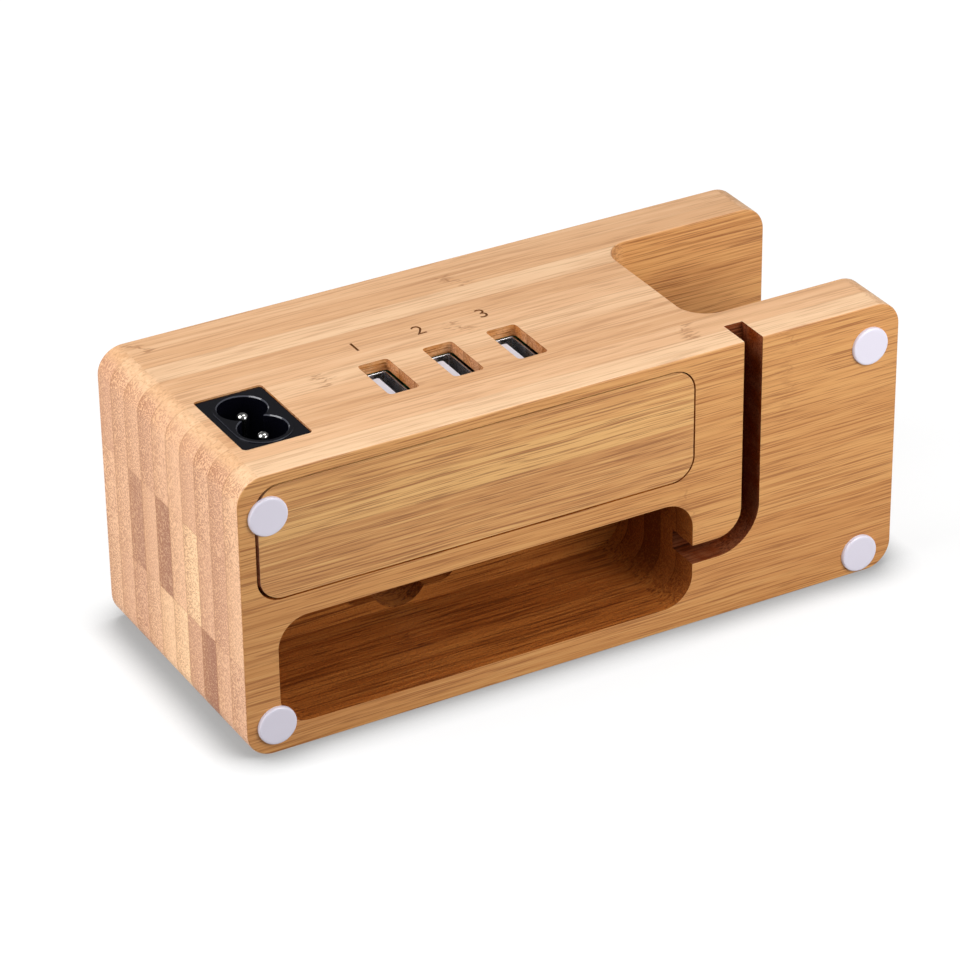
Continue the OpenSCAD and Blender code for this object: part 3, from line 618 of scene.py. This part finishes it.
def feet():
    """A silicone disc: its lower rim rolled over, its top edge sharp where it is stuck on."""
    first = rod("foot_model", Vector((0, 0, 0)), 4.0 * MM, FOOT * MM, sides=72)
    pick(first)
    bpy.ops.object.mode_set(mode="EDIT")
    select_edges(first, lambda a, b: a.z < 0.1 * MM and b.z < 0.1 * MM)
    bpy.ops.mesh.bevel(offset=0.4 * MM, segments=5, affect="EDGES")
    select_faces(first, lambda middle, normal: normal.z < -0.99)
    bpy.ops.mesh.inset(thickness=0.5 * MM)
    bpy.ops.mesh.inset(thickness=1.2 * MM)
    bpy.ops.transform.translate(value=(0, 0, 0.05 * MM))
    bpy.ops.object.mode_set(mode="OBJECT")
    smooth(first, 40)
    places = {"foot_inlet_back": (6.05, 51.55, "cover"), "foot_inlet_front": (6.2, 6.25, "dock"),
              "foot_watch_back": (138.1, 51.45, "dock"), "foot_watch_front": (137.25, 4.7, "dock")}
    for node, (x, y, body) in places.items():
        spot = at(x, y, 0)
        disc = copy_of(first, node.replace("foot_", "") + "_disc", Vector((spot.x, spot.y, 0)))
        fit(disc, body, node, foot_silicone)
    bpy.data.objects.remove(first)


# the mains inlet


def socket():
    """The moulded inlet: a flat face, an oval collar proud of it, and the figure-8 well with its pins."""
    face = INLET_FACE
    piece = slab("mains_socket", *ends(6.8, 21.0, face - 13, face, 10.25, 31.75), radius=0.8 * MM, axis="Y",
                 steps=5)
    for side in (-1, 1):
        weld(piece, slab("lug", *ends(10.0, 17.8, 56.05, COMPARTMENT_Y[1], INLET_Z + side * 10.5,
                                       INLET_Z + side * 12.05), axis="Y"))
    # The collar: a raised ring 0.25 mm high round the well
    collar = slab("collar", *ends(8.25, 19.55, face - 1, face + 0.25, 11.05, 30.95), radius=5.6 * MM,
                  axis="Y", steps=20)
    weld(piece, collar)
    heights = sorted(PIN_Z.values())
    well = slab("well", *ends(11.6, 16.2, face - 11, DEPTH + 1, *heights), axis="Y")
    lobes = [rod("lobe", at(INLET_X, face - 11, z), 4.8 * MM, 13 * MM, axis="Y", sides=64) for z in heights]
    carve(piece, well, *lobes)
    # A 45 degree chamfer leads the plug into each lobe
    for z in heights:
        clear_selection()
        bpy.ops.mesh.primitive_cone_add(vertices=64, radius1=4.7 * MM, radius2=5.3 * MM, depth=0.6 * MM,
                                        location=at(INLET_X, face + 0.24, z), rotation=(-ROUND / 4, 0, 0))
        carve(piece, bpy.context.object)
    break_edges(piece, 0.24 * MM, steps=3, angle=30)
    fit(piece, "dock", "inlet_housing", socket_nylon)
    # The mould's rims are glossier than its face and painted paler: a painted highlight on the collar and the
    # lobes' chamfers
    piece.data.materials.append(rim_highlight_nylon)
    low, high = at(0, face + 0.03, 0).y, at(0, face + 0.3, 0).y
    for side in piece.data.polygons:
        if low < side.center.y < high and abs(side.normal.y) < 0.93:
            side.material_index = 1
    for name, z in PIN_Z.items():
        pin = rod("socket_pin_" + name, at(INLET_X, face - 13, z), 1.2 * MM, 12.1 * MM, axis="Y", sides=32)
        pick(pin)
        tip = at(0, face - 0.9, 0).y
        bpy.ops.object.mode_set(mode="EDIT")
        select_edges(pin, lambda a, b: a.y > tip - 0.1 * MM and b.y > tip - 0.1 * MM)
        bpy.ops.mesh.bevel(offset=0.95 * MM, segments=6, affect="EDGES")
        bpy.ops.object.mode_set(mode="OBJECT")
        tab = slab("tab", *ends(13.5, 14.3, face - 16, face - 12.4, z - 1.2, z + 1.2))
        weld(pin, tab)
        smooth(pin, 40)
        fit(pin, "dock", "inlet_pin_" + name, pin_nickel)


# the charging ports


def port_shell(name, node, x):
    """Bent sheet 0.3 mm thick: a tube with two spring windows on each broad side."""
    piece = slab(name, *ends(x - 2.85, x + 2.85, SHELL_REAR, SHELL_MOUTH, 15.85, 28.95), radius=0.6 * MM,
                 axis="Y", steps=4)
    carve(piece, slab("bore", *ends(x - 2.55, x + 2.55, 42, 59, 16.15, 28.65), radius=0.3 * MM, axis="Y",
                      steps=4))
    for z in SPRING_Z:
        carve(piece, slab("spring_window", *ends(x - 4, x + 4, 47.8, 54.5, z - 1.1, z + 1.1), radius=0.3 * MM,
                          axis="X", steps=3))
    break_edges(piece, 0.13 * MM, steps=3)
    for side in (-1, 1):
        for z in SPRING_Z:
            spring = slab("spring", *ends(x + side * 2.50, x + side * 2.75, 48.0, 54.3, z - 0.8, z + 0.8))
            pick(spring)
            tip = at(0, 50.0, 0).y
            inward = side * 0.35 * MM
            bpy.ops.object.mode_set(mode="EDIT")
            bpy.ops.mesh.select_all(action="SELECT")
            bpy.ops.mesh.subdivide(number_cuts=3)
            bpy.ops.object.mode_set(mode="OBJECT")
            for point in spring.data.vertices:
                reach = max(0.0, 1 - abs(point.co.y - tip) / (3.2 * MM))
                point.co.x += inward * reach
            pick(piece)
            spring.select_set(True)
            bpy.ops.object.join()
    smooth(piece, 35)
    fit(piece, "dock", node, shell_nickel)


def port_tongue(name, node, x):
    """White insulator: a block at the back and a tongue with clipped corners."""
    middle = x - 0.5
    piece = slab(name, *ends(x - 2.5, x + 2.5, SHELL_REAR, SHELL_REAR + 4, 16.2, 28.6), radius=0.3 * MM,
                 axis="Y", steps=3)
    tongue = slab("tongue", *ends(middle - 0.95, middle + 0.95, 47.4, 57.35, 16.9, 27.9))
    pick(tongue)
    tip = at(0, 57.35, 0).y
    bpy.ops.object.mode_set(mode="EDIT")
    select_edges(tongue, lambda a, b: min(a.y, b.y) > tip - 0.1 * MM and abs(a.x - b.x) > 1 * MM)
    bpy.ops.mesh.bevel(offset=0.9 * MM, segments=2, affect="EDGES")
    bpy.ops.object.mode_set(mode="OBJECT")
    weld(piece, tongue)
    break_edges(piece, 0.12 * MM)
    fit(piece, "dock", node, port_resin)


block()
cover()
feet()
socket()
for number, x in enumerate(PORT_X, 1):
    port_shell("port_%d_shell" % number, "usb_shell_%d" % number, x)
    port_tongue("port_%d_tongue" % number, "usb_tongue_%d" % number, x)

# the electronics under the cover

finishes = {
    "usb_contacts_1": contact_gold, "usb_contacts_2": contact_gold, "usb_contacts_3": contact_gold,
    "charger_board": board_mask, "board_screws": zinc, "fuse": fuse_tube, "bulk_capacitor": bulk_sleeve,
    "input_choke": ferrite, "bridge_rectifier": epoxy, "controller_chip": epoxy, "y_capacitor": disc_epoxy,
    "transformer_bobbin": phenolic, "transformer_core": ferrite, "transformer_winding": winding_tape,
    "output_diode": epoxy, "output_capacitor_1": out_sleeve, "output_capacitor_2": out_sleeve,
    "lead_live": brown_pvc, "lead_neutral": blue_pvc,
}
for node, material in finishes.items():
    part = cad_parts[node]
    part.data.materials.clear()
    part.data.materials.append(material)

# stage, camera and light

FLOOR_PAINT, FLOOR_BOUNCE, FLOOR_GLOW = "#7a7a7a", "#787878", (0.80, 0.95)
# Half the floor's width in metres, and how far below the dock it lies in millimetres
FLOOR_HALF, FLOOR_GAP = 1.5, 0.1


def stage_plane(name, half, place, turn, shows_light):
    """A white plane that shows only from its front, so that views from behind it stay clear.

    Camera and reflections see it near white, darker within 8.5 mm of the object and in the lamps' shadows.
    The light that it scatters back is greyer.
    """
    clear_selection()
    bpy.ops.mesh.primitive_plane_add(size=2 * half, location=place, rotation=turn)
    plane = bpy.context.object
    plane.name = name
    made, tree, shader = new_material(name + "_paint", Roughness=0.9, Specular_IOR_Level=0.0)
    path = add(tree, "ShaderNodeLightPath")
    ray = add(tree, "ShaderNodeMath", {0: path.outputs["Is Camera Ray"], 1: path.outputs["Is Glossy Ray"]},
              operation="MAXIMUM").outputs[0]
    hidden = add(tree, "ShaderNodeAmbientOcclusion", samples=12, in_Distance=0.0085).outputs["AO"]
    dim = add(tree, "ShaderNodeMapRange", {0: hidden}, in_1=0.52, in_2=0.97, in_3=0.42, in_4=1.0).outputs[0]
    white = add(tree, "ShaderNodeVectorMath", {3: dim}, operation="SCALE",
                in_0=srgb(FLOOR_PAINT)[:3]).outputs[0]
    paint = add(tree, "ShaderNodeMix", {0: ray, 7: white}, data_type="RGBA", in_6=srgb(FLOOR_BOUNCE))
    tree.links.new(paint.outputs[2], shader.inputs["Base Color"])
    shader.inputs["Emission Color"].default_value = (1, 1, 1, 1)
    # The glow grows away from the object, where the lamps reach less: from 80 mm out to 500 mm
    spot = add(tree, "ShaderNodeTexCoord").outputs["Object"]
    reach = add(tree, "ShaderNodeVectorMath", {0: spot}, operation="LENGTH").outputs["Value"]
    grow = add(tree, "ShaderNodeMapRange", {0: reach}, in_1=0.08, in_2=0.5, in_3=FLOOR_GLOW[0],
               in_4=FLOOR_GLOW[1])
    dimmed = add(tree, "ShaderNodeMath", {0: dim, 1: grow.outputs[0]}, operation="MULTIPLY").outputs[0]
    glow = add(tree, "ShaderNodeMath", {0: ray, 1: dimmed}, operation="MULTIPLY")
    tree.links.new(glow.outputs[0], shader.inputs["Emission Strength"])
    back = add(tree, "ShaderNodeNewGeometry").outputs["Backfacing"]
    # Light from below reaches the face that lies 0.1 mm above the plane
    touching = add(tree, "ShaderNodeMath", {0: path.outputs["Ray Length"]}, operation="LESS_THAN",
                   in_1=0.4 * MM)
    back = add(tree, "ShaderNodeMath", {0: back, 1: touching.outputs[0]}, operation="MAXIMUM").outputs[0]
    clear = add(tree, "ShaderNodeBsdfTransparent")
    both = add(tree, "ShaderNodeMixShader", {0: back, 1: shader.outputs[0], 2: clear.outputs[0]})
    tree.links.new(both.outputs[0], tree.nodes["Material Output"].inputs["Surface"])
    plane.data.materials.append(made)
    plane.visible_shadow = False
    plane.visible_diffuse = shows_light
    plane.visible_glossy = shows_light


# The photograph shows the dock lying on its front face, so one plane lies against that face
stage_plane("lying_floor", FLOOR_HALF, (0, -(DEPTH / 2 + FLOOR_GAP) * MM, 0), (-ROUND / 4, 0, 0), True)
stage_plane("standing_floor", FLOOR_HALF, (0, 0, -FLOOR_GAP * MM), (0, 0, 0), False)

world = bpy.data.worlds.new("pale_studio")
bpy.context.scene.world = world
world.use_nodes = True
tree = world.node_tree
seen = add(tree, "ShaderNodeLightPath")
# White to the camera, 0.40 as fill light and 0.15 in reflections
clear = add(tree, "ShaderNodeMath",
            {0: seen.outputs["Is Camera Ray"], 1: seen.outputs["Is Transmission Ray"]}, operation="MAXIMUM")
fill = add(tree, "ShaderNodeMapRange", {0: clear.outputs[0]}, in_3=0.40, in_4=1.0)
strength = add(tree, "ShaderNodeMath", {0: seen.outputs["Is Glossy Ray"], 2: fill.outputs[0]},
               operation="MULTIPLY_ADD", in_1=-0.25)
background = tree.nodes["Background"]
background.inputs["Color"].default_value = (1, 1, 1, 1)
tree.links.new(strength.outputs[0], background.inputs["Strength"])


def soft_lamp(name, place, aim, size, power):
    """A square lamp that the camera doesn't see, aimed from its place at a point, in metres and watts."""
    data = bpy.data.lights.new(name, "AREA")
    data.shape = "SQUARE"
    data.size = size
    data.energy = power
    lamp = bpy.data.objects.new(name, data)
    bpy.context.scene.collection.objects.link(lamp)
    lamp.location = place
    lamp.rotation_euler = (Vector(aim) - Vector(place)).to_track_quat("-Z", "Y").to_euler()
    lamp.visible_camera = False
    return lamp


soft_lamp("over_back", (0.42, 0.46, 0.12), (0.02, 0, 0.02), 0.4, 2.85)
soft_lamp("beside_inlet", (0.82, 0.16, 0.05), (0.05, 0, 0.03), 0.5, 2.8)
soft_lamp("before_base", (-0.12, 0.16, -0.24), (-0.03, 0, 0), 0.2, 0.9)
soft_lamp("over_top", (-0.10, -0.20, 1.0), (0, 0, 0.05), 0.8, 3.4)
soft_lamp("before_front", (0.16, -0.60, 0.30), (0, 0, 0.03), 0.6, 3.6)
# A bright card that only reflections see: it draws the rims of the sockets and the pins
card = soft_lamp("rim_card", (-0.20, 0.70, 0.10), (0.03, 0.03, 0), 0.35, 1.6)
card.visible_diffuse = False

camera_data = bpy.data.cameras.new("product_camera")
camera_data.lens = 157.12
camera_data.sensor_width = 36
camera_data.sensor_fit = "HORIZONTAL"
camera_data.clip_start = 0.01
camera_data.clip_end = 20
camera = bpy.data.objects.new("product_camera", camera_data)
bpy.context.scene.collection.objects.link(camera)
# The photograph's viewpoint, fitted to the block's corners
right = Vector((-0.87196, -0.01186, -0.48944))
up = Vector((-0.24992, 0.87043, 0.42415))
back = Vector((0.42100, 0.49215, -0.76194))
eye = Vector((353.10, 403.42, -599.34 + FOOT)) * MM
camera.matrix_world = Matrix.Translation(eye) @ Matrix((right, up, back)).transposed().to_4x4()
bpy.context.scene.camera = camera
bpy.context.scene.view_settings.view_transform = "Standard"
